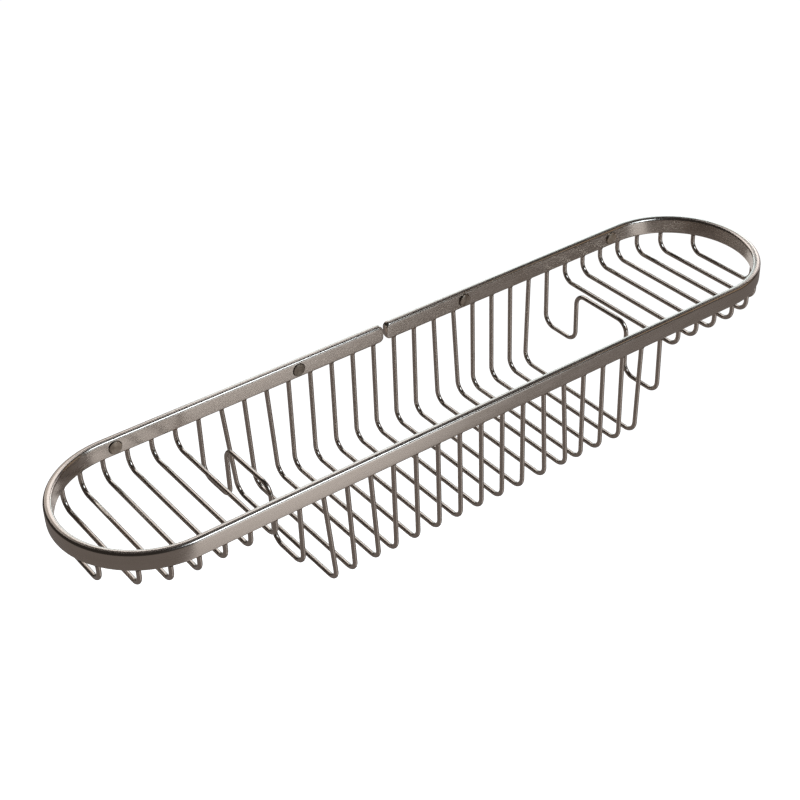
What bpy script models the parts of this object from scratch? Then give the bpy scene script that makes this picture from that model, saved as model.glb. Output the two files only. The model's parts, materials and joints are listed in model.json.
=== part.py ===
"""Wall-mounted wire shower caddy: an oval rim bar, 32 bent wires and four plugs.

Units are metres, +Z up.  +X runs along the caddy, +Y points into the wall.
The origin is on the wall plane, at the middle of the rim bar's back run,
level with the row of screw holes.
"""
import math

import bpy
import bmesh
from mathutils import Matrix, Vector

# ---------------------------------------------------------------- rim bar
BAR_HEIGHT = 0.0146          # upright side of the flat bar
BAR_THICKNESS = 0.0062       # wall side to basket side
BAR_EDGE_RADIUS = 0.0014     # all four long edges are eased
RIM_HALF_WIDTH = 0.0645      # centre line of the bar, middle to front run
RIM_HALF_STRAIGHT = 0.2370   # centre line, middle to the start of an end bend
RIM_BEND_STEPS = 28          # straight pieces in each half-round end
EDGE_STEPS = 3               # facets on each eased edge

# the bar's two ends meet at the middle of the back run with a small gap
SPLIT_GAP = 0.0035
SPLIT_CORNER_RADIUS = 0.0035
SPLIT_CORNER_STEPS = 6

# four screw holes through the back run, each sunk into a flat bore
SCREW_HOLE_X = (-0.2280, -0.0776, 0.0752, 0.2272)
SCREW_SHANK_DIAMETER = 0.0045
BORE_DIAMETER = 0.0104
BORE_DEPTH = 0.0042

# a turned disc closes each bore; each stands out by its own small amount
PLUG_DIAMETER = 0.0098
PLUG_SEAT = 0.0011           # how far a plug reaches into its bore
PLUG_CHAMFER = 0.0003
PLUG_PROUD = (0.0009, 0.0007, 0.0016, 0.0014)
PLUG_SIDES = 32

# ---------------------------------------------------------------- wires
WIRE_DIAMETER = 0.0036
WIRE_PITCH = 0.0190          # spacing of the wires along the rim
END_PITCH = 0.0180           # the two outermost spacings are a little closer
WIRE_BEND_RADIUS = 0.0095    # to the wire's axis
BEND_STEPS = 6
BRAZE_GAP = 0.0003           # wire end to the underside of the bar

DEEP_WIRES = 16              # the tall middle basket
TRAY_WIRES = 7               # each shallow tray, outside the notched wire

# wire axis heights, measured from the row of screw holes
TRAY_Z = -0.0223
NOTCH_Z = -0.0562
NOTCH_RAISED_Z = -0.0120
DEEP_Z = -0.0842
NOTCH_RISER_Y = 0.0285       # middle of the basket to each riser of a W wire

# a few wires hang slightly askew: how far the floor run sits along +X
WIRE_LEAN = {
    "basket_wire_01": 0.0065,
    "basket_wire_02": 0.0030,
    "basket_wire_03": 0.0040,
    "basket_wire_11": 0.0025,
    "basket_wire_12": 0.0040,
    "basket_wire_16": -0.0025,
}

BASKET_MIDDLE_Y = -(RIM_HALF_WIDTH + BAR_THICKNESS / 2.0)

SATIN_NICKEL = (0.42, 0.385, 0.35, 1.0)
SATIN_NICKEL_WIRE = (0.36, 0.325, 0.295, 1.0)
TURNED_NICKEL = (0.34, 0.30, 0.26, 1.0)


# ---------------------------------------------------------------- helpers
def remove_scene_objects():
    for obj in list(bpy.data.objects):
        bpy.data.objects.remove(obj, do_unlink=True)
    for group in list(bpy.data.collections):
        bpy.data.collections.remove(group)


def new_collection(name):
    group = bpy.data.collections.new(name)
    bpy.context.scene.collection.children.link(group)
    return group


def satin_metal(name, colour, roughness):
    mat = bpy.data.materials.new(name)
    mat.use_nodes = True
    shader = mat.node_tree.nodes["Principled BSDF"]
    shader.inputs["Base Color"].default_value = colour
    shader.inputs["Metallic"].default_value = 1.0
    shader.inputs["Roughness"].default_value = roughness
    mat.diffuse_color = colour
    return mat


def rounded_path(corners, radius, steps):
    """Walk a chain of corner points, replacing each inner corner by an arc."""
    points = [corners[0]]
    for i in range(1, len(corners) - 1):
        corner = corners[i]
        to_prev = (corners[i - 1] - corner).normalized()
        to_next = (corners[i + 1] - corner).normalized()
        half_angle = to_prev.angle(to_next) / 2.0
        setback = radius / math.tan(half_angle)
        bisector = (to_prev + to_next).normalized()
        centre = corner + bisector * (radius / math.sin(half_angle))
        first = corner + to_prev * setback - centre
        last = corner + to_next * setback - centre
        sweep = first.angle(last)
        axis = first.cross(last).normalized()
        for k in range(steps + 1):
            turned = Matrix.Rotation(sweep * k / steps, 3, axis) @ first
            points.append(centre + turned)
    points.append(corners[-1])
    return points


def poly_curve(name, points, cyclic=False):
    data = bpy.data.curves.new(name, "CURVE")
    data.dimensions = "3D"
    spline = data.splines.new("POLY")
    spline.points.add(len(points) - 1)
    for i, point in enumerate(points):
        spline.points[i].co = (point[0], point[1], point[2], 1.0)
    spline.use_cyclic_u = cyclic
    spline.use_smooth = True
    return data


def curve_to_mesh_object(curve_obj, name, group):
    """A welded mesh copy of a curve, so that it can be cut or can cut."""
    depsgraph = bpy.context.evaluated_depsgraph_get()
    depsgraph.update()
    mesh = bpy.data.meshes.new_from_object(curve_obj.evaluated_get(depsgraph))
    mesh.name = name
    mesh_obj = bpy.data.objects.new(name, mesh)
    mesh_obj.matrix_world = curve_obj.matrix_world.copy()
    group.objects.link(mesh_obj)
    work = bmesh.new()
    work.from_mesh(mesh)
    bmesh.ops.remove_doubles(work, verts=work.verts, dist=0.000001)
    bmesh.ops.recalc_face_normals(work, faces=work.faces)
    work.to_mesh(mesh)
    work.free()
    bpy.data.objects.remove(curve_obj, do_unlink=True)
    return mesh_obj


def mark_as_cutter(obj):
    obj.hide_render = True
    obj.display_type = "WIRE"


def cut(target, cutter):
    mod = target.modifiers.new(cutter.name, "BOOLEAN")
    mod.operation = "DIFFERENCE"
    mod.solver = "EXACT"
    mod.object = cutter


# ---------------------------------------------------------------- rim
def rim_half_width_at(x):
    """Centre line of the rim, measured from the basket's middle, at this x."""
    past = abs(x) - RIM_HALF_STRAIGHT
    if past <= 0.0:
        return RIM_HALF_WIDTH
    return math.sqrt(RIM_HALF_WIDTH ** 2 - past ** 2)


def rim_centre_line():
    points = []
    for side in (1.0, -1.0):
        for k in range(RIM_BEND_STEPS + 1):
            angle = -math.pi / 2.0 + math.pi * k / RIM_BEND_STEPS
            x = side * (RIM_HALF_STRAIGHT + RIM_HALF_WIDTH * math.cos(angle))
            y = side * RIM_HALF_WIDTH * math.sin(angle)
            points.append(Vector((x, BASKET_MIDDLE_Y + y, 0.0)))
    return points


def bar_section():
    """Outline of the flat bar: thickness across, height up, eased corners."""
    points = []
    half_t = BAR_THICKNESS / 2.0 - BAR_EDGE_RADIUS
    half_h = BAR_HEIGHT / 2.0 - BAR_EDGE_RADIUS
    signs = ((1, 1), (-1, 1), (-1, -1), (1, -1))
    for quarter, (sx, sy) in enumerate(signs):
        for k in range(EDGE_STEPS + 1):
            angle = math.pi / 2.0 * (quarter + k / EDGE_STEPS)
            x = sx * half_t + BAR_EDGE_RADIUS * math.cos(angle)
            y = sy * half_h + BAR_EDGE_RADIUS * math.sin(angle)
            points.append(Vector((x, y, 0.0)))
    return points


def split_cutter(group):
    """Hourglass prism that parts the bar and rounds both cut ends."""
    half_h = BAR_HEIGHT / 2.0
    radius = SPLIT_CORNER_RADIUS
    side = []
    for k in range(SPLIT_CORNER_STEPS + 1):
        angle = math.pi / 2.0 * k / SPLIT_CORNER_STEPS
        x = SPLIT_GAP / 2.0 + radius * (1.0 - math.cos(angle))
        z = half_h - radius + radius * math.sin(angle)
        side.append((x, z))
    reach = side[-1][0] + 0.0005
    side.append((reach, half_h + 0.002))
    upper_right = [Vector((x, z, 0.0)) for x, z in side]
    upper_left = [Vector((-x, z, 0.0)) for x, z in reversed(side)]
    lower_left = [Vector((-x, -z, 0.0)) for x, z in side]
    lower_right = [Vector((x, -z, 0.0)) for x, z in reversed(side)]
    outline = upper_right + upper_left + lower_left + lower_right
    data = poly_curve("split_outline", outline, cyclic=True)
    data.dimensions = "2D"
    data.fill_mode = "BOTH"
    data.extrude = BAR_THICKNESS
    flat = bpy.data.objects.new("split_outline", data)
    group.objects.link(flat)
    flat.rotation_euler = (math.radians(90.0), 0.0, 0.0)
    flat.location = (0.0, -BAR_THICKNESS / 2.0, 0.0)
    bpy.context.view_layer.update()
    cutter = curve_to_mesh_object(flat, "cut_split", group)
    mark_as_cutter(cutter)
    return cutter


def cylinder_cutter(name, group, radius, y_wall, y_room, x, sides):
    """A cylinder with its axis along Y, between two Y positions."""
    mesh = bpy.data.meshes.new(name)
    work = bmesh.new()
    bmesh.ops.create_cone(
        work,
        cap_ends=True,
        cap_tris=False,
        segments=sides,
        radius1=radius,
        radius2=radius,
        depth=abs(y_wall - y_room),
    )
    work.to_mesh(mesh)
    work.free()
    obj = bpy.data.objects.new(name, mesh)
    group.objects.link(obj)
    obj.rotation_euler = (math.radians(90.0), 0.0, 0.0)
    obj.location = (x, (y_wall + y_room) / 2.0, 0.0)
    mark_as_cutter(obj)
    return obj


def screw_hole_cutters(group):
    cutters = []
    overshoot = 0.001
    room_face = -BAR_THICKNESS
    for i, x in enumerate(SCREW_HOLE_X, start=1):
        cutters.append(cylinder_cutter(
            "cut_shank_%d" % i, group, SCREW_SHANK_DIAMETER / 2.0,
            overshoot, room_face + BORE_DEPTH - overshoot, x, 16))
        cutters.append(cylinder_cutter(
            "cut_bore_%d" % i, group, BORE_DIAMETER / 2.0,
            room_face + BORE_DEPTH, room_face - overshoot, x, 32))
    return cutters


def make_rim(parts, cutters):
    section_data = poly_curve("bar_section", bar_section(), cyclic=True)
    section_data.dimensions = "2D"
    section_data.fill_mode = "NONE"
    section = bpy.data.objects.new("bar_section", section_data)
    cutters.objects.link(section)

    path_data = poly_curve("rim_path", rim_centre_line(), cyclic=True)
    path_data.dimensions = "2D"
    path_data.fill_mode = "NONE"
    path_data.bevel_mode = "OBJECT"
    path_data.bevel_object = section
    path = bpy.data.objects.new("rim_path", path_data)
    parts.objects.link(path)
    bpy.context.view_layer.update()
    rim = curve_to_mesh_object(path, "rim_bar", parts)
    bpy.data.objects.remove(section, do_unlink=True)

    cut(rim, split_cutter(cutters))
    for cutter in screw_hole_cutters(cutters):
        cut(rim, cutter)
    rim.data.shade_smooth()
    rim.data.set_sharp_from_angle(angle=math.radians(35.0))
    rim.data.materials.clear()
    rim.data.materials.append(satin_metal("rim_bar_metal", SATIN_NICKEL, 0.34))
    return rim


# ---------------------------------------------------------------- plugs
def make_plug(index, x, proud, parts):
    """A turned disc with a small chamfer round its face, axis along Y."""
    radius = PLUG_DIAMETER / 2.0
    face_y = -BAR_THICKNESS - proud
    origin = Vector((x, face_y, 0.0))
    rings = (
        (radius, proud + PLUG_SEAT),
        (radius, PLUG_CHAMFER),
        (radius - PLUG_CHAMFER, 0.0),
    )
    name = "screw_plug_%d" % index
    mesh = bpy.data.meshes.new(name)
    work = bmesh.new()
    loops = []
    for ring_radius, y in rings:
        loop = []
        for k in range(PLUG_SIDES):
            angle = 2.0 * math.pi * k / PLUG_SIDES
            across = ring_radius * math.cos(angle)
            up = ring_radius * math.sin(angle)
            loop.append(work.verts.new((across, y, up)))
        loops.append(loop)
    for inner, outer in zip(loops, loops[1:]):
        for k in range(PLUG_SIDES):
            n = (k + 1) % PLUG_SIDES
            work.faces.new((inner[k], inner[n], outer[n], outer[k]))
    work.faces.new(loops[0])
    work.faces.new(list(reversed(loops[-1])))
    bmesh.ops.recalc_face_normals(work, faces=work.faces)
    work.to_mesh(mesh)
    work.free()
    mesh.shade_smooth()
    mesh.set_sharp_from_angle(angle=math.radians(30.0))
    mesh.materials.append(satin_metal(name + "_metal", TURNED_NICKEL, 0.32))
    obj = bpy.data.objects.new(name, mesh)
    obj.location = origin
    parts.objects.link(obj)
    return obj


def make_plugs(parts):
    for i, (x, proud) in enumerate(zip(SCREW_HOLE_X, PLUG_PROUD), start=1):
        make_plug(i, x, proud, parts)


# ---------------------------------------------------------------- wires
def wire_x_positions():
    """Wire positions from left to right, even about the middle."""
    half_count = TRAY_WIRES + 1 + DEEP_WIRES // 2
    right = []
    x = WIRE_PITCH / 2.0
    for k in range(half_count):
        right.append(x)
        x += WIRE_PITCH if k < half_count - 3 else END_PITCH
    return [-value for value in reversed(right)] + right


def make_wire(name, x, profile, parts):
    """One round wire bent in the plane across the basket at this x.

    The profile is a chain of (y from the basket's middle, z) corners.  A
    leaning wire turns about its two top ends, and stops a touch lower there
    so that its tilted ends keep their gap to the bar."""
    top = profile[0][1]
    depth = top - min(z for y, z in profile)
    tilt = WIRE_LEAN.get(name, 0.0) / depth
    corners = []
    for y, z in profile:
        corners.append(Vector((x + tilt * (top - z), BASKET_MIDDLE_Y + y, z)))
    corners[0].z -= abs(tilt) * WIRE_DIAMETER / 2.0
    corners[-1].z -= abs(tilt) * WIRE_DIAMETER / 2.0
    points = rounded_path(corners, WIRE_BEND_RADIUS, BEND_STEPS)
    origin = points[0].copy()
    data = poly_curve(name, [point - origin for point in points])
    data.bevel_depth = WIRE_DIAMETER / 2.0
    data.bevel_resolution = 2
    data.use_fill_caps = True
    obj = bpy.data.objects.new(name, data)
    obj.location = origin
    parts.objects.link(obj)
    data.materials.append(satin_metal(name + "_metal", SATIN_NICKEL_WIRE, 0.30))
    return obj


def plain_profile(leg_y, bottom_z):
    top = -BAR_HEIGHT / 2.0 - BRAZE_GAP
    return [(leg_y, top), (leg_y, bottom_z), (-leg_y, bottom_z), (-leg_y, top)]


def notched_profile(leg_y):
    """Down to the notch, up to the raised middle, and the same in front."""
    top = -BAR_HEIGHT / 2.0 - BRAZE_GAP
    back = [
        (leg_y, top),
        (leg_y, NOTCH_Z),
        (NOTCH_RISER_Y, NOTCH_Z),
        (NOTCH_RISER_Y, NOTCH_RAISED_Z),
    ]
    front = [(-y, z) for y, z in reversed(back)]
    return back + front


def make_wires(parts):
    xs = wire_x_positions()
    index = 0
    for k in range(TRAY_WIRES):
        leg = rim_half_width_at(xs[index])
        make_wire("tray_wire_left_%d" % (k + 1), xs[index], plain_profile(leg, TRAY_Z), parts)
        index += 1
    leg = rim_half_width_at(xs[index])
    make_wire("notched_wire_left", xs[index], notched_profile(leg), parts)
    index += 1
    for k in range(DEEP_WIRES):
        leg = rim_half_width_at(xs[index])
        make_wire("basket_wire_%02d" % (k + 1), xs[index], plain_profile(leg, DEEP_Z), parts)
        index += 1
    leg = rim_half_width_at(xs[index])
    make_wire("notched_wire_right", xs[index], notched_profile(leg), parts)
    index += 1
    for k in range(TRAY_WIRES):
        leg = rim_half_width_at(xs[index])
        make_wire("tray_wire_right_%d" % (k + 1), xs[index], plain_profile(leg, TRAY_Z), parts)
        index += 1


def main():
    remove_scene_objects()
    parts = new_collection("shower_caddy")
    cutters = new_collection("cutters")
    make_rim(parts, cutters)
    make_plugs(parts)
    make_wires(parts)
    bpy.context.view_layer.update()


main()
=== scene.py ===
"""Looks for the wire shower caddy: satin nickel rim bar, drawn wires, studio.

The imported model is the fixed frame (metres, +X along the caddy, +Y into the
wall, +Z up).  Every piece here is a finer copy of one CAD node: it takes its
place from that node's box, replaces it and rides on the one body, "root".
"""

import json
import math

import bmesh
import bpy
from mathutils import Matrix, Vector

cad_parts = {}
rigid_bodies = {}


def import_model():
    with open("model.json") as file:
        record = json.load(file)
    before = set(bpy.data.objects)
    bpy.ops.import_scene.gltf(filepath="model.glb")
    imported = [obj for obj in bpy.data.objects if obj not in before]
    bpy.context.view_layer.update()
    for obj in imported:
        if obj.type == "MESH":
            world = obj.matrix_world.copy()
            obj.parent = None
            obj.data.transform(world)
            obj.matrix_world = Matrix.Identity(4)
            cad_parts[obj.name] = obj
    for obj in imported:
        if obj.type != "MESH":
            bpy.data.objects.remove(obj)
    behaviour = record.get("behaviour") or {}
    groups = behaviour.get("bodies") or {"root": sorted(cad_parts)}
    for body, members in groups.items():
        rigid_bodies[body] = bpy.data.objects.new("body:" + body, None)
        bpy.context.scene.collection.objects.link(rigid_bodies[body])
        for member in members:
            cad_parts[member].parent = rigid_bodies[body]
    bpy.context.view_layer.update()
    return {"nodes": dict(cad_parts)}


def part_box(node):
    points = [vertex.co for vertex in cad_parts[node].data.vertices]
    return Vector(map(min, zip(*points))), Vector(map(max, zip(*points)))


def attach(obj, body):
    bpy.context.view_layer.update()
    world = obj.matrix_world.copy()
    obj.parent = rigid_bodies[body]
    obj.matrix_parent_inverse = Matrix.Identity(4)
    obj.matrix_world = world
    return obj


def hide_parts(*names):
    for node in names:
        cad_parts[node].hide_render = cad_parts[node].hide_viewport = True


BODY = "root"
GRAIN_UV = "grain"            # metres along the metal, metres across it
EDGE_ATTRIBUTE = "edge_painted_highlight"  # 1 at the middle of each rounded edge of the bar: weight of a highlight painted into its colour

# ---------------------------------------------------------------- rim bar
BAR_THICKNESS = 0.0062
EDGE_RADIUS = 0.0020
FACE_CROWN = 0.00008          # the wide faces are very slightly pillowed
TOP_DOME = 0.00020            # the narrow faces more so
FACE_STEPS = 8
TOP_STEPS = 6
EDGE_STEPS = 8
BEND_STEPS = 96               # stations round each half-round end
STRAIGHT_STEP = 0.012

SPLIT_GAP = 0.0035
SPLIT_CORNER_RADIUS = 0.0035
END_EASE = 0.0004             # tiny round over on the two cut ends
END_ZONE = 0.0050             # past this the section no longer changes
CLOSING_STRIP = 0.0002        # metres of grain across the strip that closes the section
RIM_SHARP_ANGLE = 28.0

SHANK_RADIUS = 0.00225
BORE_RADIUS = 0.0052
BORE_DEPTH = 0.0042
BORE_MOUTH = 0.00015          # broken edge round each bore
BORE_SKIN = 0.0001            # faces nearer than this to a wide face keep its finish
CUTTER_OVERSHOOT = 0.0010
TURNED_SIDES = 72

PLUGS = ("screw_plug_1", "screw_plug_2", "screw_plug_3", "screw_plug_4")
PLUG_EDGE = 0.0003            # rounded rim of a plug's face
PLUG_SAG = 0.00003            # how far the face is domed
PLUG_PAINTED_LIGHT_SCALE = (0.88, 0.58, 0.95, 1.30)   # painted light and shade: each disc's metal is made lighter or darker so that one metal looks lit or shaded
PLUG_LIGHT = (0.50, 0.42, 0.34)
PLUG_DARK = (0.34, 0.27, 0.21)
PLUG_SHARP_ANGLE = 40.0

# ---------------------------------------------------------------- wires
WIRE_RADIUS = 0.0018
WIRE_BEND_RADIUS = 0.0095     # to the wire's axis
WIRE_BEND_STEPS = 14
WIRE_SIDES = 20
WIRE_SHARP_ANGLE = 50.0
NOTCH_RISER_Y = 0.0285        # middle of the basket to each riser of a W wire
NOTCH_RAISED_Z = -0.0120
# wires that hang slightly askew: how far the floor run sits along +X
WIRE_LEAN = {
    "basket_wire_01": 0.0065,
    "basket_wire_02": 0.0030,
    "basket_wire_03": 0.0040,
    "basket_wire_11": 0.0025,
    "basket_wire_12": 0.0040,
    "basket_wire_16": -0.0025,
}
# brazed flare at the top of each leg: (distance below the bar, extra radius)
BRAZE_FLARE = (
    (-0.00012, 0.00060), (0.00008, 0.00042), (0.00022, 0.00026),
    (0.00042, 0.00013), (0.00070, 0.00005), (0.00110, 0.0),
)

# ---------------------------------------------------------------- finishes
NICKEL_LIGHT = (0.62, 0.54, 0.475, 1.0)
BAR_DARK = (0.55, 0.475, 0.41, 1.0)
WIRE_DARK = (0.53, 0.455, 0.395, 1.0)
# painted shade: the bore metal is darker than the bar to stand in for the shade inside the
# screw holes; its rougher, finer grain is the machined finish
BORE_PAINTED_SHADE_LIGHT = (0.36, 0.30, 0.25, 1.0)
BORE_PAINTED_SHADE_DARK = (0.24, 0.20, 0.17, 1.0)
NOISE_LOW, NOISE_HIGH = 0.25, 0.75     # the useful range of a noise texture
RELIEF_DEPTH = 0.00003

# ---------------------------------------------------------------- view
CAMERA_AZIMUTH = -35.255
CAMERA_ELEVATION = 34.849
CAMERA_ROLL = -2.136
CAMERA_DISTANCE = 1.1805
CAMERA_AIM = Vector((-0.03057, -0.06506, -0.01540))
CAMERA_LENS = 73.74
SENSOR_WIDTH = 36.0

FLOOR_Z = -1.30               # a caddy hangs well above the floor
FLOOR_SIZE = 60.0
LIGHT_AIM = Vector((0.0, -0.0676, -0.03))   # about the middle of the caddy


# ---------------------------------------------------------------- helpers
def clear_scene():
    for obj in list(bpy.data.objects):
        bpy.data.objects.remove(obj, do_unlink=True)


def direction(azimuth, elevation):
    """Unit vector towards a compass point: azimuth 0 is -Y, 90 is +X."""
    a, e = math.radians(azimuth), math.radians(elevation)
    return Vector((
        math.sin(a) * math.cos(e), -math.cos(a) * math.cos(e), math.sin(e)))


def link_object(name, data):
    obj = bpy.data.objects.new(name, data)
    bpy.context.scene.collection.objects.link(obj)
    return obj


def finished_piece(node, mesh, material):
    piece = link_object(node + "_finished", mesh)
    mesh.materials.append(material)
    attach(piece, BODY)
    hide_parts(node)


def shade(mesh, sharp_angle):
    mesh.shade_smooth()
    mesh.set_sharp_from_angle(angle=math.radians(sharp_angle))


# ---------------------------------------------------------------- materials
class Nodes:
    """Small helper round one material's node tree."""

    def __init__(self, name):
        self.material = bpy.data.materials.new(name)
        self.material.use_nodes = True
        self.tree = self.material.node_tree
        self.shader = self.tree.nodes["Principled BSDF"]

    def add(self, kind, **settings):
        node = self.tree.nodes.new(kind)
        for key, value in settings.items():
            setattr(node, key, value)
        return node

    def link(self, source, target):
        self.tree.links.new(source, target)

    def stretched_noise(self, vector, scale, detail=2.0, roughness=0.5):
        """Noise over the grain coordinates, scaled per metre in each direction."""
        mapping = self.add("ShaderNodeMapping")
        mapping.inputs["Scale"].default_value = scale
        self.link(vector, mapping.inputs["Vector"])
        noise = self.add("ShaderNodeTexNoise")
        noise.inputs["Scale"].default_value = 1.0
        noise.inputs["Detail"].default_value = detail
        noise.inputs["Roughness"].default_value = roughness
        self.link(mapping.outputs["Vector"], noise.inputs["Vector"])
        return noise.outputs["Fac"]

    def remap(self, value, low, high):
        node = self.add("ShaderNodeMapRange")
        node.inputs["From Min"].default_value = NOISE_LOW
        node.inputs["From Max"].default_value = NOISE_HIGH
        node.inputs["To Min"].default_value = low
        node.inputs["To Max"].default_value = high
        self.link(value, node.inputs["Value"])
        return node.outputs["Result"]

    def math(self, operation, a, b):
        node = self.add("ShaderNodeMath", operation=operation)
        for socket, value in zip(node.inputs, (a, b)):
            if isinstance(value, (int, float)):
                socket.default_value = value
            else:
                self.link(value, socket)
        return node.outputs["Value"]

    def mix(self, factor, a, b):
        node = self.add("ShaderNodeMix", data_type="RGBA")
        self.link(factor, node.inputs["Factor"])
        for socket, value in ((node.inputs[6], a), (node.inputs[7], b)):
            if isinstance(value, tuple):
                socket.default_value = value
            else:
                self.link(value, socket)
        return node.outputs[2]


def brushed_nickel(name, light, dark, roughness, anisotropy, grain, bump):
    """Satin nickel with its brushing along the grain coordinates' U."""
    n = Nodes(name)
    uv = n.add("ShaderNodeUVMap", uv_map=GRAIN_UV).outputs["UV"]
    fine = n.stretched_noise(uv, (grain * 0.02, grain, 1.0), 3.0, 0.6)
    streak = n.stretched_noise(uv, (grain * 0.006, grain * 0.16, 1.0), 2.0)
    cloud = n.stretched_noise(uv, (60.0, 150.0, 1.0), 3.0, 0.55)
    edge = n.add("ShaderNodeAttribute", attribute_name=EDGE_ATTRIBUTE).outputs["Fac"]

    tone = n.math("ADD", n.math("MULTIPLY", cloud, 0.55), n.math("MULTIPLY", streak, 0.45))
    colour = n.mix(n.remap(tone, 0.0, 1.0), dark, light)
    # painted highlight: towards the middle of each rounded edge the colour is lightened;
    # the lower roughness there below is the finish itself
    edge_highlight_colour = tuple(min(1.0, c * 1.10) for c in light[:3]) + (1.0,)
    colour = n.mix(n.math("MULTIPLY", edge, 0.5), colour, edge_highlight_colour)
    n.link(colour, n.shader.inputs["Base Color"])

    rough = n.math("ADD", n.remap(cloud, roughness - 0.03, roughness + 0.03),
                   n.remap(fine, -0.03, 0.03))
    rough = n.math("SUBTRACT", rough, n.math("MULTIPLY", edge, 0.05))
    n.link(rough, n.shader.inputs["Roughness"])

    height = n.math("ADD", n.math("MULTIPLY", fine, 0.7), n.math("MULTIPLY", streak, 0.3))
    relief = n.add("ShaderNodeBump")
    relief.inputs["Strength"].default_value = bump
    relief.inputs["Distance"].default_value = RELIEF_DEPTH
    n.link(height, relief.inputs["Height"])
    n.link(relief.outputs["Normal"], n.shader.inputs["Normal"])

    tangent = n.add("ShaderNodeTangent", direction_type="UV_MAP", uv_map=GRAIN_UV)
    n.link(tangent.outputs["Tangent"], n.shader.inputs["Tangent"])
    n.shader.inputs["Metallic"].default_value = 1.0
    n.shader.inputs["Anisotropic"].default_value = anisotropy
    n.shader.inputs["Anisotropic Rotation"].default_value = 0.25
    return n.material


# ---------------------------------------------------------------- rim
def crowned_run(start, end, sag, steps):
    """Points from start to end bulging outward by sag at the middle."""
    along = end - start
    outward = Vector((along.y, -along.x)).normalized()
    rows = []
    for k in range(1, steps):
        t = 2.0 * k / steps - 1.0
        point = start + along * (k / steps) + outward * sag * (1.0 - t * t)
        slope = -4.0 * sag * t / along.length
        normal = (outward - along.normalized() * slope).normalized()
        rows.append((point, normal, 0.0))
    return rows


def bar_section(half_height):
    """Rounded outline as (point, normal, edge), point = (outward, up)."""
    face_u = BAR_THICKNESS / 2.0 - FACE_CROWN
    top_w = half_height - TOP_DOME
    rows = []
    arc_ends = []
    for quarter, (su, sw) in enumerate(((1, 1), (-1, 1), (-1, -1), (1, -1))):
        centre = Vector((su * (face_u - EDGE_RADIUS), sw * (top_w - EDGE_RADIUS)))
        arc = []
        for k in range(EDGE_STEPS + 1):
            angle = math.pi / 2.0 * (quarter + k / EDGE_STEPS)
            normal = Vector((math.cos(angle), math.sin(angle)))
            # weight of the painted highlight, highest at the middle of the rounded edge
            edge = math.sin(math.pi * k / EDGE_STEPS)
            arc.append((centre + normal * EDGE_RADIUS, normal, edge))
        arc_ends.append(arc)
    for i, arc in enumerate(arc_ends):
        rows.extend(arc)
        start, end = arc[-1][0], arc_ends[(i + 1) % 4][0][0]
        sag, steps = (TOP_DOME, TOP_STEPS) if i % 2 == 0 else (FACE_CROWN, FACE_STEPS)
        rows.extend(crowned_run(start, end, sag, steps))
    return rows


def end_offsets():
    """Distances back from a cut end at which the bar's outline changes."""
    eased = [END_EASE * (1.0 - math.cos(math.radians(a))) for a in (0, 22, 45, 67, 90)]
    rounding = [SPLIT_CORNER_RADIUS * (1.0 - math.cos(math.radians(a)))
                for a in (35, 43, 51, 59, 67, 75, 83, 90)]
    return eased + rounding + [END_ZONE]


def half_height_at(distance, half_height):
    """The cut ends are rounded in elevation."""
    if distance >= SPLIT_CORNER_RADIUS:
        return half_height
    past = SPLIT_CORNER_RADIUS - distance
    return half_height - SPLIT_CORNER_RADIUS + math.sqrt(
        SPLIT_CORNER_RADIUS ** 2 - past ** 2)


def ease_at(distance):
    if distance >= END_EASE:
        return 0.0
    past = END_EASE - distance
    return END_EASE - math.sqrt(END_EASE ** 2 - past ** 2)


def straight_stations(start, end, offsets=()):
    """Distances along one straight, evenly spaced plus the given ones."""
    length = (end - start).length
    first = offsets[-1] if offsets else 0.0
    count = max(1, round((length - first) / STRAIGHT_STEP))
    even = [first + (length - first) * k / count for k in range(1, count + 1)]
    return list(offsets) + even if offsets else [0.0] + even


def rim_stations(box):
    """(centre, outward, arc length, distance from the nearer cut end)."""
    low, high = box
    half_t = BAR_THICKNESS / 2.0
    middle_y = (low.y + high.y) / 2.0
    radius = (high.y - low.y) / 2.0 - half_t
    bend_x = high.x - half_t - radius
    gap_x = SPLIT_GAP / 2.0

    half = []   # from the right-hand cut end round to the middle of the front
    back_start = Vector((gap_x, middle_y + radius, 0.0))
    back_end = Vector((bend_x, middle_y + radius, 0.0))
    for d in straight_stations(back_start, back_end, tuple(end_offsets())):
        half.append((back_start + Vector((d, 0, 0)), Vector((0, 1, 0)), d))
    travelled = half[-1][2]
    for k in range(1, BEND_STEPS + 1):
        angle = math.pi / 2.0 - math.pi * k / BEND_STEPS
        outward = Vector((math.cos(angle), math.sin(angle), 0.0))
        centre = Vector((bend_x, middle_y, 0.0)) + outward * radius
        half.append((centre, outward, travelled + radius * math.pi * k / BEND_STEPS))
    travelled = half[-1][2]
    front_start = Vector((bend_x, middle_y - radius, 0.0))
    front_end = Vector((0.0, middle_y - radius, 0.0))
    for d in straight_stations(front_start, front_end)[1:]:
        half.append((front_start - Vector((d, 0, 0)), Vector((0, -1, 0)), travelled + d))

    total = half[-1][2] * 2.0
    mirrored = []
    for centre, outward, s in reversed(half[:-1]):
        flipped = Vector((-centre.x, centre.y, centre.z))
        turned = Vector((-outward.x, outward.y, 0.0))
        mirrored.append((flipped, turned, total - s))
    return [(c, o, s, min(s, total - s)) for c, o, s in half + mirrored]


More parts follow.
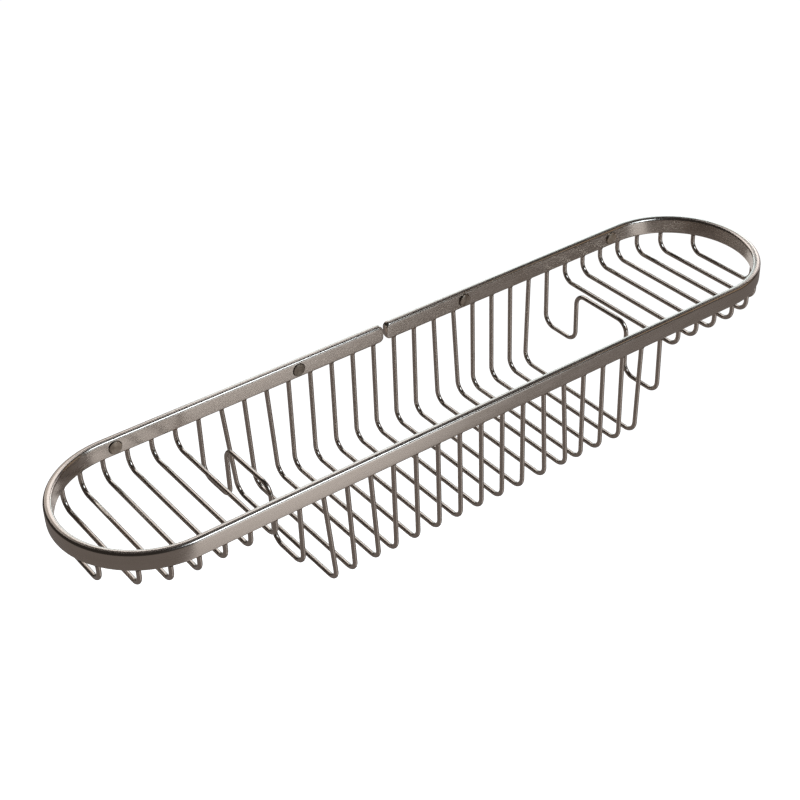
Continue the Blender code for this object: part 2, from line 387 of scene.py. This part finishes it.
def rim_mesh(box):
    low, high = box
    half_height = (high.z - low.z) / 2.0
    height_z = (high.z + low.z) / 2.0
    work = bmesh.new()
    uv = work.loops.layers.uv.new(GRAIN_UV)
    # per-vertex weight of the highlight painted along the rounded edges
    highlight_layer = work.verts.layers.float.new(EDGE_ATTRIBUTE)
    rings = []
    for centre, outward, s, from_end in rim_stations(box):
        inset = ease_at(from_end)
        ring = []
        across = 0.0
        previous = None
        for point, normal, edge in bar_section(half_height_at(from_end, half_height)):
            flat = point - normal * inset
            co = centre + outward * flat.x + Vector((0, 0, flat.y + height_z))
            vert = work.verts.new(co)
            vert[highlight_layer] = edge
            if previous is not None:
                across += (point - previous).length
            previous = point
            ring.append((vert, s, across))
        rings.append(ring)
    count = len(rings[0])
    for a, b in zip(rings, rings[1:]):
        for i in range(count):
            j = (i + 1) % count
            corners = (a[i], a[j], b[j], b[i])
            face = work.faces.new([c[0] for c in corners])
            for loop, corner, column in zip(face.loops, corners, (i, i + 1, i + 1, i)):
                v = corner[2] if column < count else a[-1][2] + CLOSING_STRIP
                loop[uv].uv = (corner[1], v)
    for ring in (list(reversed(rings[0])), rings[-1]):
        face = work.faces.new([c[0] for c in ring])
        for loop in face.loops:
            loop[uv].uv = (loop.vert.co.z, loop.vert.co.y)
    bmesh.ops.recalc_face_normals(work, faces=work.faces)
    mesh = bpy.data.meshes.new("rim_bar_finished")
    work.to_mesh(mesh)
    work.free()
    return mesh


def turned_solid(name, centre, profile):
    """Solid of revolution about a line along Y; profile is (y, radius) rows."""
    work = bmesh.new()
    uv = work.loops.layers.uv.new(GRAIN_UV)
    rings = []
    depth = 0.0
    previous = profile[0]
    for y, radius in profile:
        depth += math.hypot(y - previous[0], radius - previous[1])
        previous = (y, radius)
        ring = []
        for k in range(TURNED_SIDES):
            a = 2.0 * math.pi * k / TURNED_SIDES
            co = centre + Vector((radius * math.cos(a), y, radius * math.sin(a)))
            ring.append(work.verts.new(co))
        rings.append((ring, depth))
    for (a, da), (b, db) in zip(rings, rings[1:]):
        for i in range(TURNED_SIDES):
            j = (i + 1) % TURNED_SIDES
            face = work.faces.new([a[i], a[j], b[j], b[i]])
            u0 = 2.0 * math.pi * SHANK_RADIUS * i / TURNED_SIDES
            u1 = 2.0 * math.pi * SHANK_RADIUS * (i + 1) / TURNED_SIDES
            for loop, value in zip(face.loops, ((u0, da), (u1, da), (u1, db), (u0, db))):
                loop[uv].uv = value
    work.faces.new(rings[0][0])
    work.faces.new(list(reversed(rings[-1][0])))
    bmesh.ops.recalc_face_normals(work, faces=work.faces)
    mesh = bpy.data.meshes.new(name)
    work.to_mesh(mesh)
    work.free()
    return mesh


def plug_middle(node):
    low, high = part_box(node)
    return Vector(((low.x + high.x) / 2.0, 0.0, (low.z + high.z) / 2.0))


def cut_screw_holes(rim):
    room_y = -BAR_THICKNESS
    profile = (
        (CUTTER_OVERSHOOT, SHANK_RADIUS),
        (room_y + BORE_DEPTH, SHANK_RADIUS),
        (room_y + BORE_DEPTH, BORE_RADIUS),
        (room_y + BORE_MOUTH, BORE_RADIUS),
        (room_y, BORE_RADIUS + BORE_MOUTH),
        (room_y - CUTTER_OVERSHOOT, BORE_RADIUS + BORE_MOUTH),
    )
    cutters = []
    for node in PLUGS:
        solid = turned_solid("screw_hole_cutter", plug_middle(node), profile)
        cutters.append(link_object("screw_hole_cutter", solid))
    for cutter in cutters:
        mod = rim.modifiers.new("screw_hole", "BOOLEAN")
        mod.operation = "DIFFERENCE"
        mod.solver = "EXACT"
        mod.object = cutter
    depsgraph = bpy.context.evaluated_depsgraph_get()
    cut_mesh = bpy.data.meshes.new_from_object(rim.evaluated_get(depsgraph))
    cut_mesh.name = "rim_bar_finished"
    for cutter in cutters:
        bpy.data.objects.remove(cutter, do_unlink=True)
    return cut_mesh


def paint_holes(mesh, slot_index):
    """Faces inside a screw hole take the machined finish, whose darker colour is painted
    shade for the inside of the hole.
    """
    middles = [plug_middle(node) for node in PLUGS]
    for poly in mesh.polygons:
        c = poly.center
        near = min(math.hypot(c.x - m.x, c.z - m.z) for m in middles)
        inside = BORE_SKIN - BAR_THICKNESS < c.y < -BORE_SKIN
        if near < BORE_RADIUS + BORE_MOUTH and inside:
            poly.material_index = slot_index


def make_plugs():
    for node, tone in zip(PLUGS, PLUG_PAINTED_LIGHT_SCALE):
        # painted light and shade: this plug's metal colours are scaled by its own factor,
        # so that discs of one metal look lit or shaded
        light, dark = (tuple(c * tone for c in metal) + (1.0,)
                       for metal in (PLUG_LIGHT, PLUG_DARK))
        material = brushed_nickel(
            node + "_turned_painted_light", light, dark,
            roughness=0.32, anisotropy=0.8, grain=3200.0, bump=0.05)
        low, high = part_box(node)
        radius = (high.x - low.x) / 2.0
        flat = radius - PLUG_EDGE
        profile = []
        for share in (0.02, 0.15, 0.35, 0.55, 0.75, 0.90, 1.0):
            profile.append((PLUG_SAG * share * share, flat * share))
        for angle in (22.5, 45.0, 67.5, 90.0):
            a = math.radians(angle)
            y = PLUG_SAG + PLUG_EDGE * (1.0 - math.cos(a))
            profile.append((y, flat + PLUG_EDGE * math.sin(a)))
        profile.append((high.y - low.y, radius))
        centre = plug_middle(node) + Vector((0.0, low.y, 0.0))
        mesh = turned_solid(node + "_finished", centre, profile)
        shade(mesh, PLUG_SHARP_ANGLE)
        finished_piece(node, mesh, material)


def make_rim(bar_material, bore_shade_material):
    solid = link_object("rim_bar_solid", rim_mesh(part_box("rim_bar")))
    mesh = cut_screw_holes(solid)
    bpy.data.objects.remove(solid, do_unlink=True)
    mesh.materials.clear()
    shade(mesh, RIM_SHARP_ANGLE)
    finished_piece("rim_bar", mesh, bar_material)
    mesh.materials.append(bore_shade_material)
    paint_holes(mesh, len(mesh.materials) - 1)


# ---------------------------------------------------------------- wires
def rounded_path(corners, radius, steps):
    """Chain of corners with each inner corner turned into an arc."""
    points = [corners[0]]
    for i in range(1, len(corners) - 1):
        corner = corners[i]
        to_prev = (corners[i - 1] - corner).normalized()
        to_next = (corners[i + 1] - corner).normalized()
        half_angle = to_prev.angle(to_next) / 2.0
        setback = radius / math.tan(half_angle)
        bisector = (to_prev + to_next).normalized()
        centre = corner + bisector * (radius / math.sin(half_angle))
        first = corner + to_prev * setback - centre
        last = corner + to_next * setback - centre
        sweep = first.angle(last)
        axis = first.cross(last).normalized()
        for k in range(steps + 1):
            points.append(centre + Matrix.Rotation(sweep * k / steps, 3, axis) @ first)
    points.append(corners[-1])
    return points


def wire_corners(node):
    low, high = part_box(node)
    x = (low.x + high.x) / 2.0
    back, front = high.y - WIRE_RADIUS, low.y + WIRE_RADIUS
    bottom = low.z + WIRE_RADIUS
    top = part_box("rim_bar")[0].z + TOP_DOME / 2.0
    lean = WIRE_LEAN.get(node, 0.0)
    tilt = lean / (high.z - bottom)
    if node.startswith("notched"):
        middle = (back + front) / 2.0
        near, far = middle + NOTCH_RISER_Y, middle - NOTCH_RISER_Y
        chain = ((back, top), (back, bottom), (near, bottom), (near, NOTCH_RAISED_Z),
                 (far, NOTCH_RAISED_Z), (far, bottom), (front, bottom), (front, top))
    else:
        chain = ((back, top), (back, bottom), (front, bottom), (front, top))
    start = x - lean / 2.0
    return [Vector((start + tilt * (high.z - z), y, z)) for y, z in chain]


def flared_path(points):
    """(point, radius) rows, with the brazed flare added at both ends."""
    def end_rows(tip, inner):
        inward = (inner - tip).normalized()
        return [(tip + inward * d, WIRE_RADIUS + extra) for d, extra in BRAZE_FLARE]

    head = end_rows(points[0], points[1])
    tail = end_rows(points[-1], points[-2])
    return head + [(p, WIRE_RADIUS) for p in points[1:-1]] + list(reversed(tail))


def tube_mesh(name, rows):
    """Round tube along a path that stays close to a plane of constant X."""
    work = bmesh.new()
    uv = work.loops.layers.uv.new(GRAIN_UV)
    rings = []
    travelled = 0.0
    for i, (point, radius) in enumerate(rows):
        before = rows[max(0, i - 1)][0]
        after = rows[min(len(rows) - 1, i + 1)][0]
        along = (after - before).normalized()
        side = Vector((1.0, 0.0, 0.0))
        side = (side - along * side.dot(along)).normalized()
        normal = side.cross(along)
        if i:
            travelled += (point - rows[i - 1][0]).length
        ring = []
        for k in range(WIRE_SIDES):
            a = 2.0 * math.pi * k / WIRE_SIDES
            ring.append(work.verts.new(
                point + (side * math.cos(a) + normal * math.sin(a)) * radius))
        rings.append((ring, travelled))
    girth = 2.0 * math.pi * WIRE_RADIUS
    for (a, sa), (b, sb) in zip(rings, rings[1:]):
        for i in range(WIRE_SIDES):
            j = (i + 1) % WIRE_SIDES
            face = work.faces.new([a[i], a[j], b[j], b[i]])
            v0, v1 = girth * i / WIRE_SIDES, girth * (i + 1) / WIRE_SIDES
            for loop, value in zip(face.loops, ((sa, v0), (sa, v1), (sb, v1), (sb, v0))):
                loop[uv].uv = value
    work.faces.new(rings[0][0])
    work.faces.new(list(reversed(rings[-1][0])))
    bmesh.ops.recalc_face_normals(work, faces=work.faces)
    mesh = bpy.data.meshes.new(name)
    work.to_mesh(mesh)
    work.free()
    return mesh


def make_wires(material):
    for node in sorted(frame["nodes"]):
        if "_wire_" not in node:
            continue
        path = rounded_path(wire_corners(node), WIRE_BEND_RADIUS, WIRE_BEND_STEPS)
        mesh = tube_mesh(node + "_finished", flared_path(path))
        shade(mesh, WIRE_SHARP_ANGLE)
        finished_piece(node, mesh, material)


# ---------------------------------------------------------------- studio
def soft_box(name, azimuth, elevation, distance, width, height, mirrored):
    """Rectangular area light facing the caddy.

    mirrored is the red, green, blue brightness that polished metal would show."""
    strongest = max(mirrored)
    data = bpy.data.lights.new(name, "AREA")
    data.shape = "RECTANGLE"
    data.size = width
    data.size_y = height
    data.energy = strongest * math.pi * width * height
    data.color = [value / strongest for value in mirrored]
    lamp = link_object(name, data)
    away = direction(azimuth, elevation)
    lamp.location = LIGHT_AIM + away * distance
    lamp.rotation_euler = away.to_track_quat("Z", "Y").to_euler()
    lamp.visible_camera = False


def make_lights():
    """Keys a little right of the front, dimmer boxes behind and right, none left."""
    soft_box("key_high", 21, 45, 1.8, 0.7, 0.7, (4.5, 5.4, 6.2))
    soft_box("key_level", 21, -5, 1.8, 0.7, 0.7, (1.6, 1.8, 1.95))
    soft_box("fill_low", 21, -30, 1.8, 0.7, 0.7, (0.68, 0.70, 0.72))
    soft_box("fill_floor", 21, -55, 1.8, 0.8, 0.7, (0.48, 0.49, 0.51))
    soft_box("back_high", 152, 40, 1.9, 0.75, 0.9, (1.75, 1.80, 1.90))
    soft_box("back_right", 116, 24, 1.9, 0.5, 0.7, (1.4, 1.45, 1.5))
    soft_box("back_middle", 140, 8, 1.9, 1.6, 1.0, (1.40, 1.70, 1.85))
    soft_box("back_low", 140, -30, 1.9, 1.6, 1.1, (0.58, 0.58, 0.58))
    soft_box("back_left", 178, 32, 1.9, 0.9, 1.2, (0.78, 0.76, 0.75))
    soft_box("right_wall", 103, 15, 1.8, 0.9, 1.2, (0.54, 0.53, 0.57))
    soft_box("right_front", 62, 30, 1.8, 0.9, 1.2, (0.29, 0.22, 0.15))


def make_floor():
    mesh = bpy.data.meshes.new("floor")
    work = bmesh.new()
    bmesh.ops.create_grid(work, x_segments=2, y_segments=2, size=FLOOR_SIZE / 2.0)
    work.to_mesh(mesh)
    work.free()
    floor = link_object("floor", mesh)
    floor.location.z = FLOOR_Z
    material = bpy.data.materials.new("pale_floor")
    material.use_nodes = True
    shader = material.node_tree.nodes["Principled BSDF"]
    shader.inputs["Base Color"].default_value = (0.9, 0.9, 0.9, 1.0)
    shader.inputs["Roughness"].default_value = 0.9
    shader.inputs["Emission Color"].default_value = (1.0, 1.0, 1.0, 1.0)
    shader.inputs["Emission Strength"].default_value = 1.0
    mesh.materials.append(material)
    floor.visible_glossy = False


def make_world():
    """Pale to look at; what the metal mirrors is a dim room over a grey floor."""
    world = bpy.data.worlds.new("studio")
    world.use_nodes = True
    bpy.context.scene.world = world
    tree = world.node_tree
    shown = tree.nodes["Background"]
    shown.inputs["Color"].default_value = (1.0, 1.0, 1.0, 1.0)
    room = tree.nodes.new("ShaderNodeBackground")
    ramp = tree.nodes.new("ShaderNodeValToRGB")
    ramp.color_ramp.interpolation = "EASE"
    stops = ramp.color_ramp.elements
    stops[0].position, stops[0].color = 0.325, (0.20, 0.185, 0.18, 1.0)
    stops[1].position, stops[1].color = 0.50, (0.032, 0.029, 0.027, 1.0)
    coords = tree.nodes.new("ShaderNodeTexCoord")
    split = tree.nodes.new("ShaderNodeSeparateXYZ")
    half = tree.nodes.new("ShaderNodeMath")
    half.operation = "MULTIPLY_ADD"
    half.inputs[1].default_value = 0.5
    half.inputs[2].default_value = 0.5
    choose = tree.nodes.new("ShaderNodeMixShader")
    path = tree.nodes.new("ShaderNodeLightPath")
    links = tree.links
    links.new(coords.outputs["Generated"], split.inputs[0])
    links.new(split.outputs["Z"], half.inputs[0])
    links.new(half.outputs[0], ramp.inputs["Fac"])
    links.new(ramp.outputs["Color"], room.inputs["Color"])
    links.new(path.outputs["Is Camera Ray"], choose.inputs["Fac"])
    links.new(room.outputs[0], choose.inputs[1])
    links.new(shown.outputs[0], choose.inputs[2])
    links.new(choose.outputs[0], tree.nodes["World Output"].inputs["Surface"])


def make_camera():
    data = bpy.data.cameras.new("camera")
    data.lens = CAMERA_LENS
    data.sensor_width = SENSOR_WIDTH
    camera = link_object("camera", data)
    back = direction(CAMERA_AZIMUTH, CAMERA_ELEVATION)
    turn = back.to_track_quat("Z", "Y").to_matrix()
    roll = Matrix.Rotation(math.radians(CAMERA_ROLL), 3, "Z")
    camera.location = CAMERA_AIM + back * CAMERA_DISTANCE
    camera.rotation_euler = (turn @ roll).to_euler()
    bpy.context.scene.camera = camera


# ---------------------------------------------------------------- build
clear_scene()
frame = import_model()

bar_metal = brushed_nickel(
    "brushed_nickel_bar", NICKEL_LIGHT, BAR_DARK,
    roughness=0.27, anisotropy=0.35, grain=1100.0, bump=0.0)
# machined finish, with its colour darkened as painted shade inside the screw holes
bore_shade_metal = brushed_nickel(
    "machined_bore_painted_shade", BORE_PAINTED_SHADE_LIGHT, BORE_PAINTED_SHADE_DARK,
    roughness=0.34, anisotropy=0.5, grain=4200.0, bump=0.10)
wire_metal = brushed_nickel(
    "drawn_wire", NICKEL_LIGHT, WIRE_DARK,
    roughness=0.24, anisotropy=0.2, grain=1200.0, bump=0.0)

make_rim(bar_metal, bore_shade_metal)
make_plugs()
make_wires(wire_metal)

make_floor()
make_world()
make_camera()
make_lights()
bpy.context.scene.view_settings.view_transform = "Standard"
